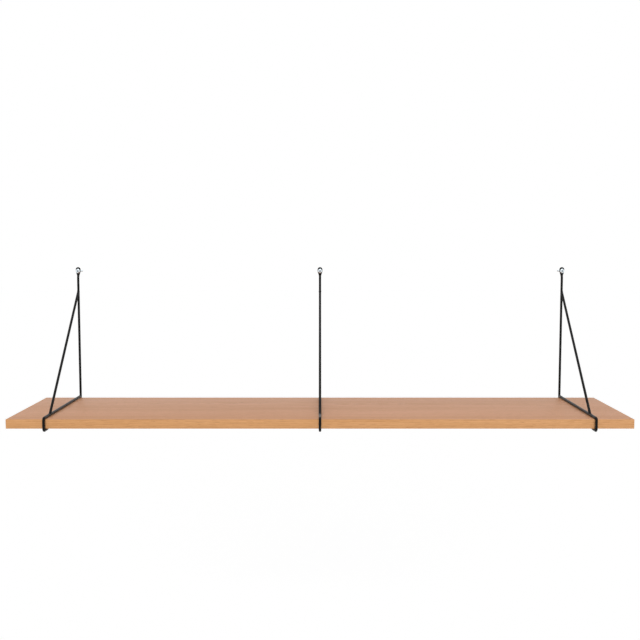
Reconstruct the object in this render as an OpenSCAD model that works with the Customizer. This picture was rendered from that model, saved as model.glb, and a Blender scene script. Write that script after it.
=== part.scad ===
// Wall shelf: a veneered board held in three bent-wire brackets.
// Each bracket hangs by a flattened eye on one wall screw.
// Millimetres. +Z is up, the wall is the plane Y = 0, and the shelf reaches out towards -Y.
// The origin is where the middle screw's axis meets the wall.

/* [Board] */
// Length of the board, left to right
board_l = 1200; // [1140:10:1600]
// Depth of the board, back to front
board_d = 250; // [180:5:350]
// Thickness of the board over both veneers
board_t = 18; // [12:1:28]
// Thickness of the veneer on the upper and lower faces
veneer_t = 0.6; // [0.4:0.1:1.5]
// Thickness of the bands glued on the four edges
band_t = 1; // [0.5:0.1:2.5]
// Radius that eases the long arrises of the front and rear bands
arris_r = 0.5; // [0.2:0.1:0.9]

/* [Bracket rods] */
// Diameter of the rod
rod_d = 5; // [3:0.5:6]
// Radius of the bends, measured to the middle of the rod
bend_r = 5; // [4.5:0.5:6]
// Spacing of the brackets along the board
bracket_pitch = 526; // [300:1:540]
// Height of the screw axis above the top of the board
screw_rise = 277; // [150:1:400]
// Free space between the board's top and the rods that lie across it
top_gap = 0.5; // [0.3:0.1:1.5]
// Free space between the board's underside and the lips
lip_gap = 1; // [0.3:0.1:1.5]
// Free space between the board's edges and the rods behind and before it
edge_gap = 2.5; // [2.5:0.1:5]
// Reach of the lips under the board, from the middle of the upright rod
lip_l = 22; // [14:1:60]
// How far the brace meets the upright below the screw axis
brace_drop = 43.4; // [30:0.1:90]
// How far the brace meets the shelf rod behind the front hook
brace_setback = 40; // [15:1:120]
// Bevel on the cut ends of the rods
cut_bevel = 0.5; // [0.2:0.1:1]

/* [Eye] */
// Width of the flattened eye
eye_w = 10.6; // [9:0.1:14]
// Height of the eye's top above the screw axis
eye_top = 8.4; // [7.2:0.1:11]
// Thickness of the flattened eye
eye_t = 2.2; // [1.6:0.1:3]
// Diameter of the hole punched in the eye
eye_hole_d = 5.2; // [5.1:0.1:6]
// How far the eye's taper runs below the screw axis
eye_taper = 10; // [8:0.5:16]
// Length over which the round rod is squeezed flat
squeeze_l = 6; // [3:0.5:12]

/* [Screw] */
// Diameter of the shank and of the thread's crests
shank_d = 4.5; // [3.5:0.1:4.5]
// Diameter of the thicker neck between the head and the wall
neck_d = 4.9; // [4.85:0.05:4.95]
// Depth to which the screw enters the wall
screw_depth = 38; // [32:1:70]
// Length of plain shank in the wall, before the thread
plain_l = 10; // [6:1:14]
// Pitch of the thread
thread_pitch = 2; // [1.5:0.1:3]
// Depth of the thread
thread_depth = 0.65; // [0.4:0.05:0.9]
// Diameter of the pan head
head_d = 9; // [8:0.1:12]
// Height of the pan head
head_h = 3.4; // [2.4:0.1:4.5]
// Free space between the head and the eye
head_gap = 0.2; // [0.1:0.1:1]

/* [Welds] */
// How far a weld bead stands proud of the rods
bead_h = 0.9; // [0.5:0.1:1.4]

/* [Hidden] */

$fn = 48;

// Rods
rod_r = rod_d / 2;
upright_y = -rod_r;                              // the upright touches the wall
left_x = -bracket_pitch;
right_x = bracket_pitch;

// Board
board_back = upright_y - rod_r - edge_gap;
board_front = board_back - board_d;
board_top = -screw_rise;
board_bottom = board_top - board_t;
core_l = board_l - 2 * band_t;
core_d = board_d - 2 * band_t;
core_back = board_back - band_t;

// Bracket
hook_y = board_front - edge_gap - rod_r;         // middle of the rod in front of the board
shelf_rod_z = board_top + top_gap + rod_r;
lip_z = board_bottom - lip_gap - rod_r;
brace_run = upright_y - hook_y - brace_setback;  // between the crossings of the centre lines
brace_rise = -brace_drop - shelf_rod_z;
brace_angle = atan2(brace_run, brace_rise);      // from the vertical

// Welds: Y and Z of each bead, on the skin of the rod that runs through
bead_r = rod_r + bead_h;
top_joint = [upright_y - rod_r, -brace_drop - rod_r / tan(brace_angle)];
foot_joint = [hook_y + brace_setback + rod_r * tan(brace_angle), shelf_rod_z + rod_r];
rear_joint = [upright_y - rod_r, shelf_rod_z];

// Eye
eye_r = eye_w / 2;
eye_lift = eye_top - eye_r;                      // the eye is longer than wide
taper_start = eye_r * 0.55;                      // below the screw axis, where the sides leave the round
taper_half = sqrt(eye_r * eye_r - taper_start * taper_start);
squeeze_overlap = 1;                             // how far the squeezed stretch reaches up the taper
squeeze_top = squeeze_overlap - eye_taper;
squeeze_bottom = squeeze_top - squeeze_l;
slice_h = 0.01;                                  // height of the two slices that the squeeze joins

// Screw
shank_r = shank_d / 2;
neck_r = neck_d / 2;
root_r = shank_r - thread_depth;
root_from = 0.3;                                 // shares of the pitch: the root's start and end,
root_to = 0.5;                                   // and the start of the crest
crest_from = 0.85;
head_r = head_d / 2;
head_rim_h = head_h * 0.55;                      // height of the head's straight rim
head_dome_h = head_h - head_rim_h;
head_dome_r = (head_r * head_r + head_dome_h * head_dome_h) / (2 * head_dome_h);
head_face = -eye_t - head_gap;                   // underside of the head
point_l = 2 * shank_d;
thread_l = screw_depth - plain_l - point_l;
thread_turns = floor(thread_l / thread_pitch);
recess_w = 1.1;                                  // width of one arm of the cross
recess_l = 4.8;                                  // tip to tip
recess_depth = 1.9;
recess_turn = 35;                                // of the cross, from the level

overcut = 1;                                     // how far a cutter runs past what it cuts
oak_face = [0.78, 0.62, 0.51];
oak_band = [0.83, 0.62, 0.43];
core_brown = [0.72, 0.58, 0.42];
coated_black = [0.08, 0.08, 0.08];
zinc = [0.80, 0.83, 0.85];

// ---------- Board ----------

// A slab between two corners
module slab(low, high) {
    translate(low) cube(high - low);
}

module board_core() {
    color(core_brown)
    slab([-core_l / 2, core_back - core_d, board_bottom + veneer_t],
         [core_l / 2, core_back, board_top - veneer_t]);
}

// A veneer leaf whose lower face is at height z
module veneer_leaf(z) {
    color(oak_face)
    slab([-core_l / 2, core_back - core_d, z], [core_l / 2, core_back, z + veneer_t]);
}

module top_veneer() {
    veneer_leaf(board_top - veneer_t);
}

module bottom_veneer() {
    veneer_leaf(board_bottom);
}

// Section of a long band: the outer side, at negative Y, has eased arrises
module band_section() {
    translate([-band_t, arris_r]) square([band_t, board_t - 2 * arris_r]);
    translate([arris_r - band_t, 0]) square([band_t - arris_r, board_t]);
    for (z = [arris_r, board_t - arris_r])
        translate([arris_r - band_t, z]) circle(arris_r);
}

// A long band whose inner side stands at y = 0
module long_band() {
    color(oak_band)
    translate([-board_l / 2, 0, board_bottom])
        rotate([90, 0, 90])
            linear_extrude(board_l) band_section();
}

module front_edge_band() {
    translate([0, core_back - core_d, 0]) long_band();
}

module rear_edge_band() {
    translate([0, core_back, 0]) mirror([0, 1, 0]) long_band();
}

// A short band whose inner side stands at x
module short_band(x) {
    color(oak_band)
    slab([x, core_back - core_d, board_bottom], [x + band_t, core_back, board_top]);
}

module left_edge_band() {
    short_band(-core_l / 2 - band_t);
}

module right_edge_band() {
    short_band(core_l / 2);
}

// ---------- Bracket, drawn in the plane X = 0 ----------

// A straight rod from a point along +Z, with a bevelled far end if wanted
module rod_along_z(length, bevelled) {
    bevel = bevelled ? cut_bevel : 0;
    cylinder(h = length - bevel, r = rod_r);
    if (bevelled)
        translate([0, 0, length - bevel])
            cylinder(h = bevel, r1 = rod_r, r2 = rod_r - bevel);
}

// A straight rod that starts at [y, z] and runs along Y, backwards or forwards
module rod_along_y(y, z, length, forwards, bevelled) {
    translate([0, y, z])
        rotate([forwards ? 90 : -90, 0, 0]) rod_along_z(length, bevelled);
}

// A quarter bend about [y, z] in the plane X = 0, starting at an angle from +Y
module bend(y, z, start) {
    translate([0, y, z])
        rotate([90, 0, 90])
            rotate([0, 0, start])
                rotate_extrude(angle = 90) translate([bend_r, 0]) circle(rod_r);
}

// The ball of weld metal around a joint, in which the butted rod ends
module bead(joint) {
    translate([0, joint[0], joint[1]]) sphere(bead_r);
}

// Outline of the eye in the XZ plane: two circles, the strip between them and the taper
module eye_outline() {
    circle(eye_r);
    translate([0, eye_lift]) circle(eye_r);
    translate([-eye_r, 0]) square([eye_w, eye_lift]);
    polygon([
        [-taper_half, -taper_start], [-rod_r, -eye_taper],
        [rod_r, -eye_taper], [taper_half, -taper_start]
    ]);
}

module eye() {
    difference() {
        rotate([90, 0, 0]) linear_extrude(eye_t) eye_outline();
        rotate([90, 0, 0]) translate([0, 0, -overcut])
            cylinder(h = eye_t + 2 * overcut, d = eye_hole_d);
    }
}

// The stretch where the round rod is squeezed to the eye's thickness
module squeezed_neck() {
    hull() {
        translate([0, upright_y, squeeze_bottom]) cylinder(h = slice_h, r = rod_r, $fn = 32);
        translate([-rod_r, -eye_t, squeeze_top]) cube([rod_d, eye_t, slice_h]);
    }
}

module hanger_rod() {
    color(coated_black) {
        eye();
        squeezed_neck();
        translate([0, upright_y, lip_z + bend_r])
            rod_along_z(squeeze_bottom - lip_z - bend_r, false);
        bend(upright_y - bend_r, lip_z + bend_r, 270);
        rod_along_y(upright_y - bend_r, lip_z, lip_l - bend_r, true, true);
    }
}

module shelf_rod() {
    color(coated_black) {
        difference() {
            rod_along_y(hook_y + bend_r, shelf_rod_z, rear_joint[0] - hook_y - bend_r, false, false);
            bead(rear_joint);
        }
        bend(hook_y + bend_r, shelf_rod_z - bend_r, 90);
        translate([0, hook_y, lip_z + bend_r])
            rod_along_z(shelf_rod_z - lip_z - 2 * bend_r, false);
        bend(hook_y + bend_r, lip_z + bend_r, 180);
        rod_along_y(hook_y + bend_r, lip_z, lip_l - bend_r, false, true);
    }
}

// The brace ends inside the two beads that join it
module brace_rod() {
    color(coated_black)
    difference() {
        translate([0, foot_joint[0], foot_joint[1]])
            rotate([-brace_angle, 0, 0])
                cylinder(h = norm(top_joint - foot_joint), r = rod_r);
        bead(foot_joint);
        bead(top_joint);
    }
}

// Two beads sit on the upright and one on the shelf rod
module welds() {
    color(coated_black) {
        for (joint = [top_joint, rear_joint])
            difference() {
                bead(joint);
                translate([0, upright_y, joint[1] - 2 * bead_r])
                    cylinder(h = 4 * bead_r, r = rod_r);
            }
        difference() {
            bead(foot_joint);
            translate([0, foot_joint[0] - 2 * bead_r, shelf_rod_z])
                rotate([-90, 0, 0]) cylinder(h = 4 * bead_r, r = rod_r);
        }
    }
}

// ---------- Screw, drawn on the middle axis, its point towards +Y ----------

// Half section of the pan head: flat underside, short rim, domed top
module head_section() {
    intersection() {
        translate([0, head_h - head_dome_r]) circle(head_dome_r, $fn = 96);
        square([head_r, head_h]);
    }
}

// Half section of one ridge of the thread, from height y
function ridge(y) = [
    [root_r, y + thread_pitch * root_from],
    [root_r, y + thread_pitch * root_to],
    [shank_r, y + thread_pitch * crest_from],
    [shank_r, y + thread_pitch]
];

// Half section of the shank, with the wall at y = 0: neck, plain shank, ridges and point
module shank_section() {
    polygon(concat(
        [[0, head_face], [neck_r, head_face], [neck_r, 0], [shank_r, 0], [shank_r, plain_l]],
        [for (turn = [0 : thread_turns - 1]) each ridge(plain_l + turn * thread_pitch)],
        [[root_r, screw_depth - point_l], [0, screw_depth]]
    ));
}

// The cross recess, cut down into the head's top
module cross_recess() {
    top = head_face - head_h;
    for (turn = [recess_turn, recess_turn + 90])
        rotate([0, turn, 0])
            slab([-recess_l / 2, top - overcut, -recess_w / 2],
                 [recess_l / 2, top + recess_depth, recess_w / 2]);
}

module screw() {
    color(zinc) {
        difference() {
            translate([0, head_face, 0]) rotate([90, 0, 0]) rotate_extrude() head_section();
            cross_recess();
        }
        rotate([-90, 0, 0]) rotate_extrude() shank_section();
    }
}

// ---------- Nodes ----------

module left_hanger_rod() { translate([left_x, 0, 0]) hanger_rod(); }
module left_shelf_rod() { translate([left_x, 0, 0]) shelf_rod(); }
module left_brace_rod() { translate([left_x, 0, 0]) brace_rod(); }
module left_welds() { translate([left_x, 0, 0]) welds(); }
module left_screw() { translate([left_x, 0, 0]) screw(); }

module middle_hanger_rod() { hanger_rod(); }
module middle_shelf_rod() { shelf_rod(); }
module middle_brace_rod() { brace_rod(); }
module middle_welds() { welds(); }
module middle_screw() { screw(); }

module right_hanger_rod() { translate([right_x, 0, 0]) hanger_rod(); }
module right_shelf_rod() { translate([right_x, 0, 0]) shelf_rod(); }
module right_brace_rod() { translate([right_x, 0, 0]) brace_rod(); }
module right_welds() { translate([right_x, 0, 0]) welds(); }
module right_screw() { translate([right_x, 0, 0]) screw(); }

board_core();
top_veneer();
bottom_veneer();
front_edge_band();
rear_edge_band();
left_edge_band();
right_edge_band();
left_hanger_rod();
left_shelf_rod();
left_brace_rod();
left_welds();
middle_hanger_rod();
middle_shelf_rod();
middle_brace_rod();
middle_welds();
right_hanger_rod();
right_shelf_rod();
right_brace_rod();
right_welds();
left_screw();
middle_screw();
right_screw();
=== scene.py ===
# %% [markdown]
# # A wall shelf in bent-wire brackets
#
# An oak-veneered board rests in three brackets of thin steel wire. Each bracket hangs by a flattened
# eye on one wall screw. The pieces come from the construction model as a fixed frame, at their real
# size. This lesson gives them their real surfaces: wire that is bent, pressed and welded, screws with
# a true thread, and oak, powder coat and zinc made of nothing but nodes.

# %% Load the frame
import math
import bmesh
import bpy
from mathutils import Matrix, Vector


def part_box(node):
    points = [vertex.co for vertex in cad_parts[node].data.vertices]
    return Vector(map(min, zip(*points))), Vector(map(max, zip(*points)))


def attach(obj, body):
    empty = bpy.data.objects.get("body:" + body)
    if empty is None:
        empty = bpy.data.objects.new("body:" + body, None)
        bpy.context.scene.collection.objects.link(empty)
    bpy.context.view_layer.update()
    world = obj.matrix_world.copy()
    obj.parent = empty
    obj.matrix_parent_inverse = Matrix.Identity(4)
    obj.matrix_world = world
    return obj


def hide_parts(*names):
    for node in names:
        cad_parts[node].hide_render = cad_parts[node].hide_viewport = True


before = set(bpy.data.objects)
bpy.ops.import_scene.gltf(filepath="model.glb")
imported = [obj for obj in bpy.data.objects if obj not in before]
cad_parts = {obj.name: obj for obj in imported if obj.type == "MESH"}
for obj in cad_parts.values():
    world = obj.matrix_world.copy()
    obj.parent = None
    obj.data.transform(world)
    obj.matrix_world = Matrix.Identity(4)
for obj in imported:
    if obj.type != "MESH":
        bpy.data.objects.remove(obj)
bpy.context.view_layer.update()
MM = 0.001

# %% [markdown]
# ## Sizes
#
# The frame gives the place of every piece, so that the looks sit exactly on the construction. The
# few sizes that a box can't tell, such as a hole's, are named where they are used. The three
# brackets are alike, so the middle one, in the plane X = 0, gives the sizes for all three.

# %% Read the bracket's sizes off the frame
SIDES = ("left", "middle", "right")
hanger_low, hanger_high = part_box("middle_hanger_rod")
shelf_low, shelf_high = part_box("middle_shelf_rod")
brace_low, brace_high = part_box("middle_brace_rod")
beads_low, beads_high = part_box("middle_welds")

rod_r = (brace_high.x - brace_low.x) / 2
bead_r = (beads_high.x - beads_low.x) / 2
upright_y = hanger_high.y - rod_r
lip_reach = upright_y - hanger_low.y
lip_z = hanger_low.z + rod_r
hook_y = shelf_low.y + rod_r
shelf_z = shelf_high.z - rod_r
bracket_x = {side: sum(corner.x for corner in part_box(f"{side}_brace_rod")) / 2 for side in SIDES}
print(f"wire {2 * rod_r / MM:.2f} mm thick, brackets at", [round(x, 4) for x in bracket_x.values()])

# %% Find the three joints of a bracket, on the skin of the wire that runs through
top_joint = Vector((0, upright_y - rod_r, beads_high.z - bead_r))
foot_joint = Vector((0, beads_low.y + bead_r, shelf_z + rod_r))
rear_joint = Vector((0, upright_y - rod_r, shelf_z))
brace_way = (top_joint - foot_joint).normalized()
print(f"the brace leans {math.degrees(math.atan2(brace_way.y, brace_way.z)):.1f} degrees off the wall")

# %% [markdown]
# ## Working with node trees
#
# Geometry Nodes and shader nodes are both trees of nodes joined by links. Building them in a script
# takes many small steps, so a few helpers carry the work. `add` makes a node and fills its inputs by
# name. A `Field` stands for a number inside a tree: a sum written with fields becomes Math nodes,
# so a rule such as a circle or a thread reads as the formula that it is.

# %% A number inside a tree
class Field:
    """A number inside a node tree. Arithmetic on it adds Math nodes."""

    def __init__(self, tree, socket):
        self.tree = tree
        self.socket = socket

    def __add__(self, other):
        return calc("ADD", self, other)

    def __sub__(self, other):
        return calc("SUBTRACT", self, other)

    def __rsub__(self, other):
        return calc("SUBTRACT", other, self)

    def __mul__(self, other):
        return calc("MULTIPLY", self, other)

    def __truediv__(self, other):
        return calc("DIVIDE", self, other)

    __radd__ = __add__
    __rmul__ = __mul__


print("a number in a tree can be added to, taken from, multiplied and divided")


# %% Helpers that make and join nodes
def result(node):
    """The first output of a node that is in use."""
    return next(socket for socket in node.outputs if socket.enabled)


def plug(tree, value, socket):
    """Join a node, socket or field to an input, or set the input to a plain value."""
    if isinstance(value, Field):
        value = value.socket
    if isinstance(value, bpy.types.Node):
        value = result(value)
    if isinstance(value, bpy.types.NodeSocket):
        tree.links.new(value, socket)
    else:
        socket.default_value = value


def add(tree, kind, inputs=None, **settings):
    """Add a node with its settings, and fill the inputs that are in use under the given names."""
    node = tree.nodes.new(kind)
    for name, value in settings.items():
        setattr(node, name, value)
    for name, value in (inputs or {}).items():
        plug(tree, value, next(s for s in node.inputs if s.name == name and s.enabled))
    return node


def calc(operation, *values):
    """A Math node over fields and plain numbers."""
    tree = next(value.tree for value in values if isinstance(value, Field))
    node = tree.nodes.new("ShaderNodeMath")
    node.operation = operation
    for value, socket in zip(values, node.inputs):
        plug(tree, value, socket)
    return Field(tree, node.outputs[0])


print("nodes can be made and joined")


# %% Helpers for the sums that come up often
def ramp(value, start, end, smooth=True):
    """0 before start and 1 past end, with a smooth or a straight rise between them."""
    kind = "SMOOTHSTEP" if smooth else "LINEAR"
    inputs = {"Value": value, "From Min": start, "From Max": end}
    node = add(value.tree, "ShaderNodeMapRange", inputs, interpolation_type=kind)
    return Field(value.tree, result(node))


def mix(low, high, share):
    """low where share is 0 and high where it is 1."""
    return low + (high - low) * share


def split(tree, vector):
    """The X, Y and Z of a vector, as three fields."""
    node = add(tree, "ShaderNodeSeparateXYZ", {"Vector": vector})
    return [Field(tree, socket) for socket in node.outputs]


print("ramps, mixes and splits are ready")

# %% [markdown]
# A Geometry Nodes tree is a small machine: sizes go in by name, a shape comes out. The machine is
# put on a carrier mesh as a modifier, run once, and its result is kept as a plain mesh, which is
# what a renderer, a simulator and a printer all understand. Cutting one shape with another can leave
# cracks finer than a hair, so at the end of each tree the points on both sides of one are merged.

# %% Helpers that start and end a Geometry Nodes tree
HAIR = 0.002 * MM


def new_tree(name, **sizes):
    """A tree with a geometry input, the named inputs, and a finish. Returns it with its inputs."""
    tree = bpy.data.node_groups.new(name, "GeometryNodeTree")
    sockets = {"Geometry": "Geometry", **sizes, "Finish": "Material"}
    for label, kind in sockets.items():
        shown = label.replace("_", " ")
        tree.interface.new_socket(shown, in_out="INPUT", socket_type=f"NodeSocket{kind}")
    tree.interface.new_socket("Geometry", in_out="OUTPUT", socket_type="NodeSocketGeometry")
    entry = tree.nodes.new("NodeGroupInput")
    given = {label: Field(tree, socket) for label, socket in zip(sockets, entry.outputs)}
    return tree, given


def end_tree(tree, shape, finish):
    """Every tree ends the same way: real geometry, points a hair apart merged, and its finish on."""
    real = add(tree, "GeometryNodeRealizeInstances", {"Geometry": shape})
    closed = add(tree, "GeometryNodeMergeByDistance", {"Geometry": real, "Distance": HAIR})
    coated = add(tree, "GeometryNodeSetMaterial", {"Geometry": closed, "Material": finish})
    add(tree, "NodeGroupOutput", {"Geometry": coated})


print("a tree can be started and ended")


# %% Helpers that turn a tree into a piece
def link_object(name, data):
    """A new object in the scene that holds a mesh, a lamp or a camera."""
    holder = bpy.data.objects.new(name, data)
    bpy.context.scene.collection.objects.link(holder)
    return holder


def run_tree(name, carrier, tree, **sizes):
    """Run a tree on a carrier mesh and keep the result as a plain mesh."""
    piece = link_object(name, carrier)
    modifier = piece.modifiers.new("shape", "NODES")
    modifier.node_group = tree
    for item in tree.interface.items_tree:
        label = item.name.replace(" ", "_")
        if item.in_out == "INPUT" and label in sizes:
            modifier[item.identifier] = sizes[label]
    graph = bpy.context.evaluated_depsgraph_get()
    plain = bpy.data.meshes.new_from_object(piece.evaluated_get(graph))
    piece.modifiers.remove(modifier)
    piece.data = plain
    return piece


def settle(piece, body, slot, *nodes, crease=30):
    """Shade a piece smooth up to its creases, hang it on its body and put it in its nodes' place."""
    piece.data.name = piece.name
    piece.data.polygons.foreach_set("use_smooth", [True] * len(piece.data.polygons))
    piece.data.set_sharp_from_angle(angle=math.radians(crease))
    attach(piece, body)
    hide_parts(*nodes)


print("a tree can be run, and its piece hung on a body")

# %% [markdown]
# ## Finishes
#
# Each finish is a Principled shader fed by patterns in Object coordinates, which are metres here.
# A pattern's scale is therefore its number of cells in a metre. What is the same all over a surface
# is set on the shader's own socket; only what varies is linked.

# %% Helpers for finishes
def new_finish(name, **constants):
    """A material with one Principled shader, its even values set. Returns material, tree and shader."""
    finish = bpy.data.materials.new(name)
    finish.use_nodes = True
    tree = finish.node_tree
    shader = tree.nodes["Principled BSDF"]
    for label, value in constants.items():
        shader.inputs[label.replace("_", " ")].default_value = value
    return finish, tree, shader


def stretched(tree, cells, turn=0.0):
    """Object coordinates with their own number of cells in a metre along each axis."""
    place = add(tree, "ShaderNodeTexCoord").outputs["Object"]
    if turn:
        place = add(tree, "ShaderNodeMapping", {"Vector": place, "Rotation": (0, 0, turn)})
    return add(tree, "ShaderNodeMapping", {"Vector": place, "Scale": cells})


def noise(tree, place, detail=2.0, roughness=0.5):
    """A cloudy pattern from 0 to 1, with one cell to each unit of place."""
    inputs = {"Vector": place, "Scale": 1.0, "Detail": detail, "Roughness": roughness}
    return Field(tree, add(tree, "ShaderNodeTexNoise", inputs).outputs[0])


print("materials and patterns are ready")


# %% Helpers that colour and emboss
def tint(tree, low, high, share):
    """The colour low where share is 0 and high where it is 1."""
    inputs = {"Factor": share, "A": (*low, 1), "B": (*high, 1)}
    return add(tree, "ShaderNodeMix", inputs, data_type="RGBA")


def shade(tree, colour, share, dark):
    """A colour multiplied by dark where share is 1."""
    inputs = {"Factor": share, "A": colour, "B": (*dark, 1)}
    return add(tree, "ShaderNodeMix", inputs, data_type="RGBA", blend_type="MULTIPLY")


def emboss(tree, shader, height, depth):
    """Raise the surface by a pattern, with its full height in metres."""
    bump = add(tree, "ShaderNodeBump", {"Height": height, "Distance": depth})
    plug(tree, bump, shader.inputs["Normal"])


print("colours and relief are ready")

# %% [markdown]
# ### Lacquered oak
#
# Wood is a solid with a plan: rings around the heart of the log. A veneer leaf is a slice through
# those rings, so one formula gives the figure on every face. The distance from a heart line, divided
# by the width of a ring, counts the rings. The log is never straight, so slow noise moves the heart
# about along the grain. Near the heart the slice runs along the rings and shows broad arches, and
# beside it they crowd into lines. Each ring starts with a row of open pores, drawn as short dark
# dashes, and ends in denser, deeper-coloured wood. Slow clouds, streaks and fine fibres run along
# the grain through all of it, and pale flecks across the grain are the rays. A satin lacquer fills
# the pores nearly flush, so the relief is a few hundredths of a millimetre.

# %% Count the growth rings
RING_W = 3.4 * MM
WANDER_CELLS = (1.6, 5.0, 5.0)
ELSEWHERE = (7, 3, 1)  # so that the heart strays sideways and up or down in its own way


def ring_phase(tree, place, heart, wander):
    """How far through its growth ring a place is, from 0 to 1. wander is how far the heart strays."""
    y, z = split(tree, place)[1:]
    slow = add(tree, "ShaderNodeMapping", {"Vector": place, "Scale": WANDER_CELLS})
    elsewhere = add(tree, "ShaderNodeMapping", {"Vector": slow, "Location": ELSEWHERE})
    stray_y = (noise(tree, slow, roughness=0.45) - 0.5) * wander
    stray_z = (noise(tree, elsewhere) - 0.5) * wander
    across = y - heart[0] + stray_y
    down = z - heart[1] + stray_z
    distance = calc("SQRT", across * across + down * down)
    return calc("FRACT", distance / RING_W)


print(f"a growth ring is {RING_W / MM:.1f} mm wide")

# %% Make the oak
OAK_PALE = (0.715, 0.385, 0.183)
OAK_DEEP = (0.570, 0.276, 0.103)
OAK_PORE = (0.60, 0.50, 0.40)
OAK_RAY = (1.12, 1.14, 1.18)


def oak(name, heart, wander, blush=(1, 1, 1), turn=0.0):
    """Satin-lacquered oak. turn swings the grain from along X, and blush tints the whole leaf."""
    finish, tree, shader = new_finish(name, Specular_IOR_Level=0.3)
    phase = ring_phase(tree, stretched(tree, (1, 1, 1), turn), heart, wander)
    late_wood = ramp(phase, 0.25, 0.95, smooth=False) - ramp(phase, 0.95, 1.0, smooth=False)
    early_wood = 1.0 - ramp(phase, 0.10, 0.45)
    clouds = noise(tree, stretched(tree, (1.3, 16, 16), turn), detail=3)
    streaks = noise(tree, stretched(tree, (5, 420, 420), turn), detail=3, roughness=0.6)
    fibres = noise(tree, stretched(tree, (26, 1700, 1700), turn), roughness=0.6)
    dashes = noise(tree, stretched(tree, (75, 2600, 2600), turn), detail=1)
    flecks = noise(tree, stretched(tree, (330, 800, 120), turn), detail=1)
    pores = ramp(dashes, 0.50, 0.60) * early_wood
    rays = ramp(flecks, 0.66, 0.76)
    figure = clouds * 0.38 + streaks * 0.26 + fibres * 0.16 + late_wood * 0.20
    figure = ramp(figure, 0.34, 0.62, smooth=False)
    pale = [part * warmth for part, warmth in zip(OAK_PALE, blush)]
    deep = [part * warmth for part, warmth in zip(OAK_DEEP, blush)]
    wood = tint(tree, pale, deep, figure)
    with_rays = shade(tree, wood, rays * 0.25, OAK_RAY)
    plug(tree, shade(tree, with_rays, pores * 0.85, OAK_PORE), shader.inputs["Base Color"])
    plug(tree, mix(0.42, 0.54, streaks), shader.inputs["Roughness"])
    emboss(tree, shader, streaks * 0.35 - pores, 0.04 * MM)
    return finish


print("oak can be made")

# %% Cut three kinds of leaf from the log
QUARTER_TURN = math.radians(90)
core_low, core_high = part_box("board_core")
board_middle = (core_low + core_high) / 2
face_heart = (board_middle.y + 45 * MM, board_middle.z - 38 * MM)  # near the leaf, for arches
edge_heart = (board_middle.y, board_middle.z - 400 * MM)  # far from it, for even lines
face_oak = oak("face_oak", face_heart, wander=0.09, blush=(1.02, 0.97, 1.15))
long_edge_oak = oak("long_edge_oak", edge_heart, wander=0.03)
short_edge_oak = oak("short_edge_oak", edge_heart, wander=0.03, turn=QUARTER_TURN)
print("oak for the faces, the long edges and the short edges")

# %% [markdown]
# ### Black powder coat
#
# Powder is baked onto the wire and flows into a skin that is never quite flat: a fine orange peel
# about half a millimetre across breaks up its reflections. The black is not even either, so a slow
# noise moves it a little, and handling has polished it in patches.

# %% Make the powder coat
COAT_DEEP = (0.003, 0.003, 0.003)
COAT_PALE = (0.007, 0.0068, 0.0065)


def powder_coat():
    """Satin black powder coat with orange peel."""
    finish, tree, shader = new_finish("black_powder_coat", Specular_IOR_Level=0.1)
    patches = noise(tree, stretched(tree, (40, 40, 40)), detail=3)
    peel = noise(tree, stretched(tree, (1900, 1900, 1900)), detail=1)
    grit = noise(tree, stretched(tree, (7000, 7000, 7000)), detail=0)
    plug(tree, tint(tree, COAT_DEEP, COAT_PALE, patches), shader.inputs["Base Color"])
    plug(tree, mix(0.24, 0.34, patches) + (grit - 0.5) * 0.06, shader.inputs["Roughness"])
    emboss(tree, shader, peel + grit * 0.15, 0.02 * MM)
    return finish


black_coat = powder_coat()
print("black powder coat")

# %% [markdown]
# ### Bright zinc
#
# The screws are zinc plated. Zinc is a bluish metal that dulls in clouds and keeps fine turning
# marks around the axis of the screw, here the Y axis, so the marks are stretched across it. The
# recess in the head gets painted shade: a darker colour, and a duller surface. A pattern in space
# can't tell where the recess is, so its faces carry a mark in an attribute, and the finish reads that.

# %% Make the zinc
ZINC_DULL = (0.61, 0.68, 0.72)
ZINC_BRIGHT = (0.83, 0.89, 0.93)
# painted shade: the colour that darkens the recess in the head
ZINC_RECESS_SHADE = (0.44, 0.48, 0.51)


def zinc_plate():
    """Bright zinc with clouds and fine marks, and painted shade, darker and duller, on the faces that
    are marked for it.
    """
    finish, tree, shader = new_finish("zinc_plate", Metallic=1.0)
    clouds = noise(tree, stretched(tree, (500, 500, 500)), detail=3)
    marks = noise(tree, stretched(tree, (900, 9000, 900)))
    # painted shade: the marked recess faces are darkened and made a little rougher
    film = Field(tree, add(tree, "ShaderNodeAttribute", attribute_name="film").outputs["Fac"])
    bare = tint(tree, ZINC_DULL, ZINC_BRIGHT, clouds)
    dullness = mix(0.20, 0.40, clouds) + (marks - 0.5) * 0.1 + film * 0.15
    plug(tree, shade(tree, bare, film, ZINC_RECESS_SHADE), shader.inputs["Base Color"])
    plug(tree, dullness, shader.inputs["Roughness"])
    emboss(tree, shader, marks, 0.01 * MM)
    return finish


bright_zinc = zinc_plate()
print("bright zinc")

# %% [markdown]
# ### Pressed wood fibre
#
# The board's core is fine fibreboard, covered by veneer on every side. It keeps its construction
# mesh and only gets a finish: a brown felt of short fibres.

# %% Make the fibreboard and put it on the core
FIBRE_DEEP = (0.30, 0.19, 0.10)
FIBRE_PALE = (0.52, 0.36, 0.21)


def fibreboard():
    """Matt brown fibreboard."""
    finish, tree, shader = new_finish("fibreboard", Specular_IOR_Level=0.2, Roughness=0.85)
    fibres = noise(tree, stretched(tree, (900, 900, 2600)), detail=3, roughness=0.7)
    clumps = noise(tree, stretched(tree, (120, 120, 300)))
    colour = tint(tree, FIBRE_DEEP, FIBRE_PALE, fibres * 0.7 + clumps * 0.3)
    plug(tree, colour, shader.inputs["Base Color"])
    emboss(tree, shader, fibres, 0.08 * MM)
    return finish


core_finish = fibreboard()
for material_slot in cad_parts["board_core"].material_slots:
    material_slot.material = core_finish
print("the core has", len(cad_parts["board_core"].material_slots), "slot")

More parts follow.
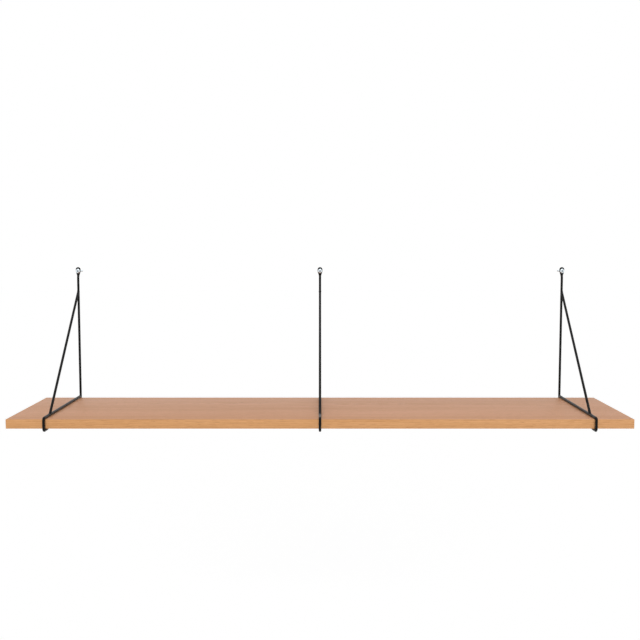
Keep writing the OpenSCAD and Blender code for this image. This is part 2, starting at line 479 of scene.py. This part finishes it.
# %% [markdown]
# ## The bent wire
#
# The bracket is straight wire with round bends. The wire could be modelled face by face, but a rule
# describes it better: a path of straight runs, its corners rounded to the bending radius, and a
# circle swept along it. The carrier mesh is the path, one vertex at each corner. Its `corner`
# attribute says which vertices are bent, and `radius` how thick the wire is there, which also
# bevels the sawn ends.

# %% Make a path mesh
def path_mesh(name, points):
    """A chain of edges through (place, radius, corner) points. corner is 1 where the wire is bent."""
    places, radii, corners = zip(*points)
    mesh = bpy.data.meshes.new(name)
    mesh.from_pydata(places, [(index, index + 1) for index in range(len(places) - 1)], [])
    for label, values in (("radius", radii), ("corner", corners)):
        attribute = mesh.attributes.new(label, "FLOAT", "POINT")
        attribute.data.foreach_set("value", values)
    return mesh


def sawn_end(end, inner, bevel):
    """The two points of a bevelled end: the small face, and the full wire a bevel further in."""
    way = (inner - end).normalized()
    return [(end, rod_r - bevel, 0), (end + way * bevel, rod_r, 0)]


print("paths can be made")

# %% Build the tree that sweeps wire along a path
def swept(tree, given):
    """Nodes that round the path's corners and sweep a circle along it."""
    radius = add(tree, "GeometryNodeInputNamedAttribute", {"Name": "radius"})
    corner = Field(tree, add(tree, "GeometryNodeInputNamedAttribute", {"Name": "corner"}).outputs[0])
    curve = add(tree, "GeometryNodeMeshToCurve", {"Mesh": given["Geometry"]})
    rounding = {"Curve": curve, "Count": given["Bend_Steps"], "Radius": corner * given["Bend_Radius"]}
    rounded = add(tree, "GeometryNodeFilletCurve", rounding, mode="POLY")
    unit = {"Resolution": given["Sides"], "Radius": 1.0}
    circle = add(tree, "GeometryNodeCurvePrimitiveCircle", unit)
    sweep = {"Curve": rounded, "Profile Curve": circle, "Scale": radius, "Fill Caps": True}
    return add(tree, "GeometryNodeCurveToMesh", sweep)


PATH_SIZES = {"Sides": "Int", "Bend_Radius": "Float", "Bend_Steps": "Int"}
wire_tree, wire_given = new_tree("bent_wire", **PATH_SIZES)
end_tree(wire_tree, swept(wire_tree, wire_given), wire_given["Finish"])
print("the wire tree has", len(wire_tree.nodes), "nodes")

# %% [markdown]
# ### The shelf wire and the brace
#
# The shelf wire is butted against the upright, runs forward over the board, turns down in front of
# it and back under it as a short lip. The brace is a straight strut. Both are butted against another
# wire, and each is drawn on to that wire's middle line, where its flat end is out of sight.

# %% Lay out the shelf wire and the brace
SAWN_BEVEL = 0.5 * MM
top_crossing = top_joint + brace_way * (rod_r / brace_way.y)
foot_crossing = foot_joint - brace_way * (rod_r / brace_way.z)


def at(x, y, z):
    """A place in a bracket's own plane, moved to the bracket at x."""
    return Vector((x, y, z))


def shelf_path(x):
    """From the joint at the upright, over and around the board's front, to the end of the lip."""
    lip_end = at(x, hook_y + lip_reach, lip_z)
    return [
        (at(x, upright_y, shelf_z), rod_r, 0),
        (at(x, hook_y, shelf_z), rod_r, 1),
        (at(x, hook_y, lip_z), rod_r, 1),
        *reversed(sawn_end(lip_end, at(x, hook_y, lip_z), SAWN_BEVEL)),
    ]


def brace_path(x):
    """Straight from the shelf wire up to the upright."""
    return [(at(x, place.y, place.z), rod_r, 0) for place in (foot_crossing, top_crossing)]


print(f"a brace is {(top_crossing - foot_crossing).length / MM:.1f} mm long, to the middle lines")

# %% Make the three shelf wires and the three braces
WIRE = {"Sides": 32, "Bend_Radius": 5 * MM, "Bend_Steps": 14, "Finish": black_coat}
for side in SIDES:
    x = bracket_x[side]
    for part, path in (("shelf", shelf_path(x)), ("brace", brace_path(x))):
        wire = run_tree(f"{side}_{part}_wire", path_mesh(part, path), wire_tree, **WIRE)
        settle(wire, f"{side}_bracket", "black_coating", f"{side}_{part}_rod")

# %% [markdown]
# ### The hanger wire and its pressed eye
#
# The upright ends in an eye: the wire's end is squeezed flat in a press, which also spreads it into
# a round tab, and a hole is punched through. Rings of vertices up the wire's end are moved by rule.
# Each ring of the circle becomes a flat section with round edges. Its half thickness falls from the
# wire's radius to the tab's, and its half width follows the outline: wire, a straight taper that
# meets the round, the round, and a top that closes. The back stays on the wall all the way up.

# %% Sizes of the eye
eye_r = hanger_high.x
eye_top = hanger_high.z
eye_lift = eye_top - eye_r
EYE_HALF_T = 1.1 * MM
ROUND_UNTIL = -15 * MM
FLAT_FROM = -9 * MM
TAPER_FROM = -10 * MM
EYE_HOLE_R = 2.6 * MM
EYE_RINGS = 44

to_corner = math.hypot(TAPER_FROM, rod_r)
tangent_turn = math.atan2(rod_r, -TAPER_FROM) + math.acos(eye_r / to_corner)
taper_until = -eye_r * math.cos(tangent_turn)
taper_slope = (eye_r * math.sin(tangent_turn) - rod_r) / (taper_until - TAPER_FROM)
print(f"the taper meets the round {-taper_until / MM:.2f} mm below the screw's axis")

# %% Press the eye
TAPER_EASE = 1 * MM  # how softly the taper leaves the straight wire
LEAST_WIDTH = 0.1 * MM  # keeps a division in bounds where the outline closes
SIDE_STEEPNESS = 100.0  # side goes from -1 to 1 within a hundredth of the wire's radius


def half_width(z, given):
    """Half the width of the wire at height z: taper below, two half circles and a strip above."""
    beyond = calc("MAXIMUM", calc("MAXIMUM", 0 - z, z - given["Eye_Lift"]), 0.0)
    square = given["Eye_Radius"] * given["Eye_Radius"] - beyond * beyond
    circle = calc("SQRT", calc("MAXIMUM", square, 0.0))
    line = given["Wire_Radius"] + (z - given["Taper_From"]) * given["Taper_Slope"]
    taper = calc("SMOOTH_MAX", line, given["Wire_Radius"], TAPER_EASE)
    above = calc("GREATER_THAN", z, given["Taper_Until"])
    return mix(taper, circle, above)


def pressed(tree, wire, given):
    """Nodes that squeeze the wire's end flat and spread it into the eye's outline."""
    x, y, z = split(tree, add(tree, "GeometryNodeInputPosition"))
    wire_r = given["Wire_Radius"]
    middle_x = given["Axis_X"]
    across = (x - middle_x) / wire_r
    through = (y - given["Wire_Y"]) / wire_r
    squeeze = ramp(z, given["Round_Until"], given["Flat_From"])
    half_t = mix(wire_r, given["Half_Thickness"], squeeze)
    width = half_width(z, given)
    to_top = (z - (given["Eye_Lift"] + given["Eye_Radius"] - half_t)) / half_t
    top_share = calc("MAXIMUM", to_top, 0.0)
    close = calc("SQRT", calc("MAXIMUM", 1.0 - top_share * top_share, 0.0))
    round_edge = half_t * given["Eye_Radius"] / calc("MAXIMUM", width, LEAST_WIDTH)
    edge = mix(width, calc("MINIMUM", round_edge, width), squeeze)
    side = calc("MAXIMUM", calc("MINIMUM", across * SIDE_STEEPNESS, 1.0), -1.0)
    new_x = middle_x + side * (width - edge) + across * edge
    new_y = half_t * close * through - half_t
    place = add(tree, "ShaderNodeCombineXYZ", {"X": new_x, "Y": new_y, "Z": z})
    squeezed = calc("GREATER_THAN", z, given["Round_Until"])
    change = {"Geometry": wire, "Selection": squeezed, "Position": place}
    return add(tree, "GeometryNodeSetPosition", change)


print("the eye can be pressed")

# %% Punch the eye's hole
PUNCH_SIDES = 64
PUNCH_RINGS = 16
PUNCH_LENGTH = 4.0  # in half thicknesses of the eye


def moved(tree, shape, x, y, turn):
    """The shape, turned about the origin and then moved along X and Y."""
    place = add(tree, "ShaderNodeCombineXYZ", {"X": x, "Y": y})
    change = {"Geometry": shape, "Translation": place, "Rotation": turn}
    return add(tree, "GeometryNodeTransform", change)


def cut_away(tree, body, *tools):
    """What is left of the body once every tool is cut out of it."""
    cut = add(tree, "GeometryNodeMeshBoolean", operation="DIFFERENCE", solver="EXACT")
    plug(tree, body, cut.inputs["Mesh 1"])
    for tool in tools:
        plug(tree, tool, cut.inputs["Mesh 2"])
    return cut.outputs["Mesh"]


def punched(tree, eye, given):
    """Nodes that punch the hole. The punch flares at both faces, which breaks the hole's edges."""
    half_t = given["Half_Thickness"]
    size = {
        "Vertices": PUNCH_SIDES,
        "Side Segments": PUNCH_RINGS,
        "Radius": given["Hole_Radius"],
        "Depth": half_t * PUNCH_LENGTH,
    }
    punch = add(tree, "GeometryNodeMeshCylinder", size).outputs["Mesh"]
    x, y, z = split(tree, add(tree, "GeometryNodeInputPosition"))
    flare_from = half_t * (1.0 - PUNCH_LENGTH / PUNCH_RINGS)
    past_edge = calc("MAXIMUM", calc("ABSOLUTE", z) - flare_from, 0.0)
    swell = past_edge / given["Hole_Radius"] + 1.0
    place = add(tree, "ShaderNodeCombineXYZ", {"X": x * swell, "Y": y * swell, "Z": z})
    flared = add(tree, "GeometryNodeSetPosition", {"Geometry": punch, "Position": place})
    laid = moved(tree, flared, given["Axis_X"], 0 - half_t, (QUARTER_TURN, 0, 0))
    return cut_away(tree, eye, laid)


print("the eye can be punched")

# %% Build the hanger wire's tree, with the eye's sizes as its inputs
EYE = {
    "Wire_Radius": rod_r,
    "Wire_Y": upright_y,
    "Eye_Radius": eye_r,
    "Eye_Lift": eye_lift,
    "Half_Thickness": EYE_HALF_T,
    "Round_Until": ROUND_UNTIL,
    "Flat_From": FLAT_FROM,
    "Taper_From": TAPER_FROM,
    "Taper_Until": taper_until,
    "Taper_Slope": taper_slope,
    "Hole_Radius": EYE_HOLE_R,
}
hanger_sizes = PATH_SIZES | dict.fromkeys(("Axis_X", *EYE), "Float")
hanger_tree, hanger_given = new_tree("hanger_wire", **hanger_sizes)
eye_shape = pressed(hanger_tree, swept(hanger_tree, hanger_given), hanger_given)
end_tree(hanger_tree, punched(hanger_tree, eye_shape, hanger_given), hanger_given["Finish"])
print("the hanger tree has", len(hanger_tree.nodes), "nodes")


# %% Make the three hanger wires
def hanger_path(x):
    """From the lip's end, back to the wall, up the wall, and ring by ring up the eye."""
    corner = at(x, upright_y, lip_z)
    climb = eye_top - ROUND_UNTIL
    turns = [math.pi / 2 * ring / EYE_RINGS for ring in range(EYE_RINGS)]
    rings = [at(x, upright_y, ROUND_UNTIL + climb * math.sin(turn)) for turn in turns]
    return [
        *sawn_end(at(x, upright_y - lip_reach, lip_z), corner, SAWN_BEVEL),
        (corner, rod_r, 1),
        *[(ring, rod_r, 0) for ring in rings],
    ]


for side in SIDES:
    x = bracket_x[side]
    path = path_mesh("hanger", hanger_path(x))
    hanger = run_tree(f"{side}_hanger_wire", path, hanger_tree, **WIRE, **EYE, Axis_X=x)
    settle(hanger, f"{side}_bracket", "black_coating", f"{side}_hanger_rod")

# %% [markdown]
# ### The welds
#
# Where wire meets wire, a welder has run a small bead around the joint, and the coat covers it. The
# bead follows the line where the two round skins meet, drawn a little inward so that it bites. The
# line is worked out by rule, and drops of weld metal are set along it, each a little different.
# Turned into a volume and back into a mesh, the drops flow together into one closed, lumpy ring, as
# the real ones do.

# %% Find the line where one wire meets another
SEAM_STEPS = 48
SEAM_SHARE = 0.94  # of the wire's radius
FORWARD = Vector((0, -1, 0))
UP = Vector((0, 0, 1))


def seam(joint, way, outward):
    """Points where a wire that leaves the joint along way meets the other wire, just under its skin.

    outward points from the middle line of the wire that runs through to the joint on its skin.
    """
    side = Vector((1, 0, 0))
    front = way.cross(side)
    seam_r = rod_r * SEAM_SHARE
    middle_line = joint - outward * rod_r
    points = []
    for step in range(SEAM_STEPS):
        turn = 2 * math.pi * step / SEAM_STEPS
        start = joint + side * (seam_r * math.cos(turn)) + front * (seam_r * math.sin(turn))
        rise = math.sqrt(rod_r**2 - start.x**2)
        reach = (rise - (start - middle_line).dot(outward)) / way.dot(outward)
        points.append(start + way * reach)
    return points


rear_seam = seam(rear_joint, FORWARD, FORWARD)
seam_depths = [point.y / MM for point in rear_seam]
print(f"the rear seam runs from {min(seam_depths):.2f} to {max(seam_depths):.2f} mm in Y")


# %% Build the tree that lays a bead of drops along a seam
BEAD = {"Drop_Radius": 0.60 * MM, "Drop_Spacing": 0.50 * MM, "Grain": 0.15 * MM}
DROP_LEAST = 0.88  # of the drop radius
DROP_MOST = 1.10
SKIN_THRESHOLD = 0.1  # the density at which the skin is drawn
SMOOTH_STEPS = 3


def bead_tree():
    """A tree that turns closed seams into rings of weld metal."""
    tree, given = new_tree("weld_bead", Seed="Int", **dict.fromkeys(BEAD, "Float"))
    curve = add(tree, "GeometryNodeMeshToCurve", {"Mesh": given["Geometry"]})
    spaced = {"Curve": curve, "Length": given["Drop_Spacing"]}
    drops = add(tree, "GeometryNodeCurveToPoints", spaced, mode="LENGTH").outputs["Points"]
    size = {"Min": DROP_LEAST, "Max": DROP_MOST, "Seed": given["Seed"]}
    unlike = Field(tree, result(add(tree, "FunctionNodeRandomValue", size, data_type="FLOAT")))
    volume = {"Points": drops, "Radius": given["Drop_Radius"] * unlike, "Voxel Size": given["Grain"]}
    metal = add(tree, "GeometryNodePointsToVolume", volume, resolution_mode="VOXEL_SIZE")
    skin = {"Volume": metal, "Voxel Size": given["Grain"], "Threshold": SKIN_THRESHOLD}
    bead = add(tree, "GeometryNodeVolumeToMesh", skin, resolution_mode="VOXEL_SIZE")
    place = add(tree, "GeometryNodeInputPosition")
    evened = {"Value": place, "Iterations": SMOOTH_STEPS}
    even = add(tree, "GeometryNodeBlurAttribute", evened, data_type="FLOAT_VECTOR")
    smooth = add(tree, "GeometryNodeSetPosition", {"Geometry": bead, "Position": even})
    end_tree(tree, smooth, given["Finish"])
    return tree


weld_tree = bead_tree()
print("the weld tree has", len(weld_tree.nodes), "nodes")


# %% Weld the three brackets
def seams_mesh(x):
    """The three seams of a bracket at x, as closed rings of edges."""
    mesh = bpy.data.meshes.new("seams")
    rings = [
        seam(top_joint, -brace_way, FORWARD),
        seam(foot_joint, brace_way, UP),
        seam(rear_joint, FORWARD, FORWARD),
    ]
    places = [point + Vector((x, 0, 0)) for ring in rings for point in ring]
    edges = []
    for start in range(0, len(places), SEAM_STEPS):
        edges += [(start + step, start + (step + 1) % SEAM_STEPS) for step in range(SEAM_STEPS)]
    mesh.from_pydata(places, edges, [])
    return mesh


for seed, side in enumerate(SIDES):
    seams = seams_mesh(bracket_x[side])
    beads = run_tree(f"{side}_weld_beads", seams, weld_tree, **BEAD, Seed=seed, Finish=black_coat)
    settle(beads, f"{side}_bracket", "black_coating", f"{side}_welds", crease=70)

# %% [markdown]
# ## The screws
#
# A pan-head wood screw with a cross recess. It is turned work, so its outline is a path along the
# axis with a radius at every station, swept by the same nodes as the wire. The thread is a
# true helix: a point is raised by how near it lies to the thread's crest, which moves on by one
# pitch in every turn. The recess is cut by two crossed wings and a round core, all narrowing with
# depth. The cutting tools carry a mark for painted shade, and the faces that they cut inherit it.

# %% Sizes of the screw
screw_low, screw_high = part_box("middle_screw")
head_r = screw_high.x
head_top = screw_low.y
tip = screw_high.y
HEAD_H = 3.4 * MM
HEAD_RIM_H = 1.87 * MM
NECK_R = 2.45 * MM
SHANK_R = 2.25 * MM
ROOT_R = 1.6 * MM
PITCH = 2 * MM
THREAD_FROM = 10 * MM
POINT_L = 9 * MM
print(f"the screw is {(tip - head_top) / MM:.1f} mm long, with a {2 * head_r / MM:.1f} mm head")

# %% Lay out the screw's outline
STATIONS = 12
FIRST_STATION = 0.2  # in steps off the middle, where a small flat closes the dome
CREASE_GAP = 0.02 * MM  # between two stations that make a flat face
UNDER_ROUND = 0.3 * MM
UNDER_HALFWAY = (0.08 * MM, 0.1 * MM)  # halfway round it, along the axis and in from the rim
NECK_STEP = 0.3 * MM
ROOT_STEP = 0.6 * MM
TIP_R = 0.2 * MM


def dome_stations():
    """The domed top of the head, from its middle out to the rim."""
    rise = HEAD_H - HEAD_RIM_H
    sphere_r = (head_r**2 + rise**2) / (2 * rise)
    widest = math.asin(head_r / sphere_r)
    turns = [widest * (step + FIRST_STATION) / STATIONS for step in range(STATIONS)]
    return [(head_top + sphere_r * (1 - math.cos(turn)), sphere_r * math.sin(turn)) for turn in turns]


def screw_stations():
    """(distance along Y, radius) from the head's top to the tip."""
    under = head_top + HEAD_H
    rim = [
        (under - HEAD_RIM_H, head_r),
        (under - UNDER_ROUND, head_r),
        (under - UNDER_HALFWAY[0], head_r - UNDER_HALFWAY[1]),
        (under, head_r - UNDER_ROUND),
    ]
    neck = [(under + CREASE_GAP, NECK_R), (0.0, NECK_R), (NECK_STEP, SHANK_R)]
    shank = [(THREAD_FROM, SHANK_R), (THREAD_FROM + ROOT_STEP, ROOT_R)]
    step = PITCH / STATIONS
    count = math.floor((tip - shank[-1][0]) / step)
    to_tip = [step * back for back in range(count - 1, -1, -1)]
    core = [(tip - left, ROOT_R * min(1.0, (left + TIP_R) / POINT_L)) for left in to_tip]
    return dome_stations() + rim + neck + shank + core


stations = screw_stations()
print("the screw's outline has", len(stations), "stations")

# %% Raise the thread
RIDGE_SHARE = 0.625  # of the pitch that the foot of the ridge takes
FADE_SHARE = 0.8  # of the point along which the ridge fades out
LEAST_RADIUS = 0.01 * MM  # keeps a division in bounds on the axis


def threaded(tree, blank, given):
    """Nodes that raise a helical ridge around the Y axis."""
    x, y, z = split(tree, add(tree, "GeometryNodeInputPosition"))
    away = x - given["Axis_X"]
    turn = calc("ARCTAN2", z, away) / (2 * math.pi)
    phase = calc("FRACT", y / given["Pitch"] - turn)
    ridge = calc("MAXIMUM", 1.0 - calc("ABSOLUTE", phase - 0.5) * (2 / RIDGE_SHARE), 0.0)
    starts = ramp(y, given["Thread_From"], given["Thread_From"] + given["Pitch"])
    ends = ramp(y, given["Tip"], given["Tip"] - given["Point_Length"] * FADE_SHARE, smooth=False)
    height = ridge * starts * ends * given["Thread_Depth"]
    radius = calc("MAXIMUM", calc("SQRT", away * away + z * z), LEAST_RADIUS)
    push = height / radius
    offset = add(tree, "ShaderNodeCombineXYZ", {"X": away * push, "Z": z * push})
    return add(tree, "GeometryNodeSetPosition", {"Geometry": blank, "Offset": offset})


print("the thread can be raised")

# %% Cut the recess
WING_SHARE = 0.22  # a wing's width, of the recess's length
WING_TURNS = (math.radians(35), math.radians(125))
LENGTH_LOSS = 0.5  # of a wing's length, at the bottom of the recess
WIDTH_LOSS = 0.2  # of a wing's width, at the bottom of the recess
CORE_MOUTH = 0.24  # the core's radii, of the recess's length
CORE_END = 0.12
CORE_FROM = -0.4  # from the head's top, in depths of the recess
CORE_UNTIL = 1.2


def recess_wing(tree, length, depth):
    """A bar across the head that narrows with depth. Half of it stands out of the head."""
    x, y, z = split(tree, add(tree, "GeometryNodeInputPosition"))
    size = {"X": length, "Y": depth * 2.0, "Z": length * WING_SHARE}
    block = add(tree, "ShaderNodeCombineXYZ", size)
    bar = add(tree, "GeometryNodeMeshCube", {"Size": block}).outputs["Mesh"]
    sunk = y / depth
    taper = {"X": x * (1.0 - sunk * LENGTH_LOSS), "Y": y, "Z": z * (1.0 - sunk * WIDTH_LOSS)}
    place = add(tree, "ShaderNodeCombineXYZ", taper)
    return add(tree, "GeometryNodeSetPosition", {"Geometry": bar, "Position": place})


def shade_marked(tree, tool):
    """A cutting tool whose faces are marked for painted shade. The faces that it cuts inherit the mark.
    """
    mark = {"Geometry": tool, "Name": "film", "Value": 1.0}
    return add(tree, "GeometryNodeStoreNamedAttribute", mark, domain="FACE", data_type="FLOAT")


def slotted(tree, screw, given):
    """Nodes that cut the cross recess into the head."""
    depth = given["Recess_Depth"]
    length = given["Recess_Length"]
    middle_x = given["Axis_X"]
    top = given["Head_Top"]
    wing = recess_wing(tree, length, depth)
    size = {
        "Radius Top": length * CORE_END,
        "Radius Bottom": length * CORE_MOUTH,
        "Depth": depth * (CORE_UNTIL - CORE_FROM),
    }
    core = add(tree, "GeometryNodeMeshCone", size).outputs["Mesh"]
    tools = [moved(tree, wing, middle_x, top, (0, turn, 0)) for turn in WING_TURNS]
    tools.append(moved(tree, core, middle_x, top + depth * CORE_FROM, (-QUARTER_TURN, 0, 0)))
    return cut_away(tree, screw, *[shade_marked(tree, tool) for tool in tools])


print("the recess can be cut")

# %% Build the screw's tree, with its sizes as its inputs
SCREW = {
    "Head_Top": head_top,
    "Tip": tip,
    "Pitch": PITCH,
    "Thread_From": THREAD_FROM,
    "Thread_Depth": SHANK_R - ROOT_R,
    "Point_Length": POINT_L,
    "Recess_Length": 4.8 * MM,
    "Recess_Depth": 1.9 * MM,
}
screw_sizes = PATH_SIZES | dict.fromkeys(("Axis_X", *SCREW), "Float")
screw_tree, screw_given = new_tree("wood_screw", **screw_sizes)
blank = swept(screw_tree, screw_given)
cut_screw = slotted(screw_tree, threaded(screw_tree, blank, screw_given), screw_given)
end_tree(screw_tree, cut_screw, screw_given["Finish"])
print("the screw tree has", len(screw_tree.nodes), "nodes")

# %% Make the three screws
TURNED = {"Sides": 48, "Bend_Radius": 0.0, "Bend_Steps": 1, "Finish": bright_zinc}
for side in SIDES:
    x = bracket_x[side]
    path = path_mesh("turned", [(at(x, y, 0), radius, 0) for y, radius in stations])
    screw = run_tree(f"{side}_wood_screw", path, screw_tree, **TURNED, **SCREW, Axis_X=x)
    settle(screw, "wall_screws", "zinc", f"{side}_screw")

# %% [markdown]
# ## The board
#
# The board is a core with a veneer leaf above and below and a band glued on each edge. They are
# plain flat pieces, so plain mesh code is enough. What makes them look made, and not cut from a
# block, is the sanded arris: the edges where two outer faces of the whole board meet are rounded,
# and the rim of a leaf is broken by a hair, which draws the fine line of the glue joint.

# %% Helpers for the board's pieces
board_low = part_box("front_edge_band")[0]
board_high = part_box("rear_edge_band")[1]
ARRIS_R = 0.5 * MM
RIM_BREAK = 0.08 * MM
TOUCH = 0.01 * MM  # what lies closer to a face than this lies on it


def outer_faces(place):
    """How many outer faces of the whole board a place lies on."""
    near = [abs(place[axis] - board_low[axis]) < TOUCH for axis in range(3)]
    near += [abs(place[axis] - board_high[axis]) < TOUCH for axis in range(3)]
    return sum(near)


def board_piece(name, node, finish, slot, faces, radius):
    """A flat piece in a node's place, rounded along the edges that lie on that many outer faces."""
    low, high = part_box(node)
    shape = bmesh.new()
    bmesh.ops.create_cube(shape, size=1)
    for vertex in shape.verts:
        vertex.co = [mix(start, end, part + 0.5) for start, end, part in zip(low, high, vertex.co)]
    middles = {edge: (edge.verts[0].co + edge.verts[1].co) / 2 for edge in shape.edges}
    rounded = [edge for edge, middle in middles.items() if outer_faces(middle) == faces]
    bmesh.ops.bevel(shape, geom=rounded, offset=radius, segments=4, profile=0.5, affect="EDGES")
    mesh = bpy.data.meshes.new(name)
    shape.to_mesh(mesh)
    shape.free()
    mesh.materials.append(finish)
    settle(link_object(name, mesh), "shelf_board", slot, node)


print("the board measures", [round(size, 4) for size in board_high - board_low])

# %% Make the leaves and the bands
for place in ("top", "bottom"):
    board_piece(f"{place}_leaf", f"{place}_veneer", face_oak, "oak_face", 1, RIM_BREAK)
for place in ("front", "rear"):
    board_piece(f"{place}_band", f"{place}_edge_band", long_edge_oak, "oak_edge", 2, ARRIS_R)
for place in ("left", "right"):
    board_piece(f"{place}_band", f"{place}_edge_band", short_edge_oak, "oak_edge", 2, ARRIS_R)
print("the board has six dressed pieces around its core")

# %% [markdown]
# ## Light, floor and camera
#
# A soft lamp stands in front of the shelf, a little above it, and a second one hangs over it. White
# surroundings do the rest. They are white where the camera, a gloss or a glass looks, and softer
# where they light the matt surfaces. The front lamp throws a wire's shadow straight behind it, and
# the ceiling lamp lays the shelf wire's shadow close along its foot. The front lamp is hidden from
# glosses, so that no wire or screw head carries a bright streak of it. The board's front edge gets
# about as much light as makes its colour come out as written, and its top about two thirds of that.

# %% Set the surroundings
AMBIENT = 0.35


def looked_at(tree):
    """1 for a ray that looks, from the camera, a gloss or a glass, and 0 for one that only lights."""
    path = add(tree, "ShaderNodeLightPath")
    camera_ray, gloss_ray, glass_ray = [
        Field(tree, path.outputs[f"Is {kind} Ray"]) for kind in ("Camera", "Glossy", "Transmission")
    ]
    return calc("MAXIMUM", calc("MAXIMUM", camera_ray, gloss_ray), glass_ray)


def surroundings():
    """A world that looks white and lights softly."""
    world = bpy.data.worlds.new("studio")
    world.use_nodes = True
    tree = world.node_tree
    tree.nodes.clear()
    strength = mix(AMBIENT, 1.0, looked_at(tree))
    back = add(tree, "ShaderNodeBackground", {"Color": (1, 1, 1, 1), "Strength": strength})
    add(tree, "ShaderNodeOutputWorld", {"Surface": back})
    bpy.context.scene.world = world


def place_object(name, data, place=(0, 0, 0), turn=(0, 0, 0)):
    """A lamp or a camera at a place, turned about X, Y and Z."""
    holder = link_object(name, data)
    holder.location = place
    holder.rotation_euler = turn
    return holder


surroundings()
print(f"the surroundings light the matt surfaces at {AMBIENT:.2f} of white")

# %% Hang the lamps
LAMPS = {
    "front_lamp": {"elevation": math.radians(14), "width": math.radians(26), "strength": 1.63},
    "ceiling_lamp": {"elevation": math.radians(72), "width": math.radians(36), "strength": 0.77},
}
level_light = AMBIENT
for name, plan in LAMPS.items():
    lamp = bpy.data.lights.new(name, "SUN")
    lamp.energy = plan["strength"]
    lamp.angle = plan["width"]
    holder = place_object(name, lamp, turn=(QUARTER_TURN - plan["elevation"], 0, 0))
    holder.visible_glossy = name != "front_lamp"
    level_light += plan["strength"] * math.sin(plan["elevation"]) / math.pi
print(f"a level face gets {level_light:.2f} of the light that shows a colour as written")

# %% [markdown]
# The floor has to look white, like the surroundings, and still darken under the shelf. It is painted
# grey and glows a little for rays that look. The paint is chosen so that, in the light it gets, paint
# and glow come to exactly white, and only the painted part takes the shadow.

# %% Lay the floor
FLOOR_DROP = 1.5
FLOOR_HALF = 40.0
GLOW = 0.45


def studio_floor():
    """A pale floor that is white in the open and keeps the object's shadow."""
    finish = bpy.data.materials.new("studio_floor")
    finish.use_nodes = True
    tree = finish.node_tree
    tree.nodes.clear()
    grey = (1 - GLOW) / level_light
    paint = add(tree, "ShaderNodeBsdfDiffuse", {"Color": (grey, grey, grey, 1)})
    glow = add(tree, "ShaderNodeEmission", {"Strength": looked_at(tree) * GLOW})
    both = add(tree, "ShaderNodeAddShader")
    plug(tree, paint, both.inputs[0])
    plug(tree, glow, both.inputs[1])
    add(tree, "ShaderNodeOutputMaterial", {"Surface": both})
    return finish


floor_z = board_low.z - FLOOR_DROP
corners = [(-1, -1), (1, -1), (1, 1), (-1, 1)]
floor_mesh = bpy.data.meshes.new("floor")
floor_mesh.from_pydata([(x * FLOOR_HALF, y * FLOOR_HALF, floor_z) for x, y in corners], [], [range(4)])
floor_mesh.materials.append(studio_floor())
link_object("floor", floor_mesh)
print(f"the floor lies at Z = {floor_z:.2f} m")

# %% [markdown]
# The camera stands straight in front of the middle bracket, 1.9 m from the wall and a little above
# the screws, and looks slightly down, so that the board shows its front edge and a narrow band of its
# top. The Standard view transform shows colours as they are, without a film's curve.

# %% Place the camera
CAMERA_PLACE = (0.0, -1.9013, 0.04225)
CAMERA_PITCH = math.radians(4.49)
CAMERA_LENS = 49.07
CAMERA_SENSOR = 36.0

camera = bpy.data.cameras.new("camera")
camera.lens = CAMERA_LENS
camera.sensor_width = CAMERA_SENSOR
camera_turn = (QUARTER_TURN - CAMERA_PITCH, 0, 0)
bpy.context.scene.camera = place_object("camera", camera, CAMERA_PLACE, camera_turn)
bpy.context.scene.view_settings.view_transform = "Standard"
print("the camera looks along +Y from", CAMERA_PLACE)
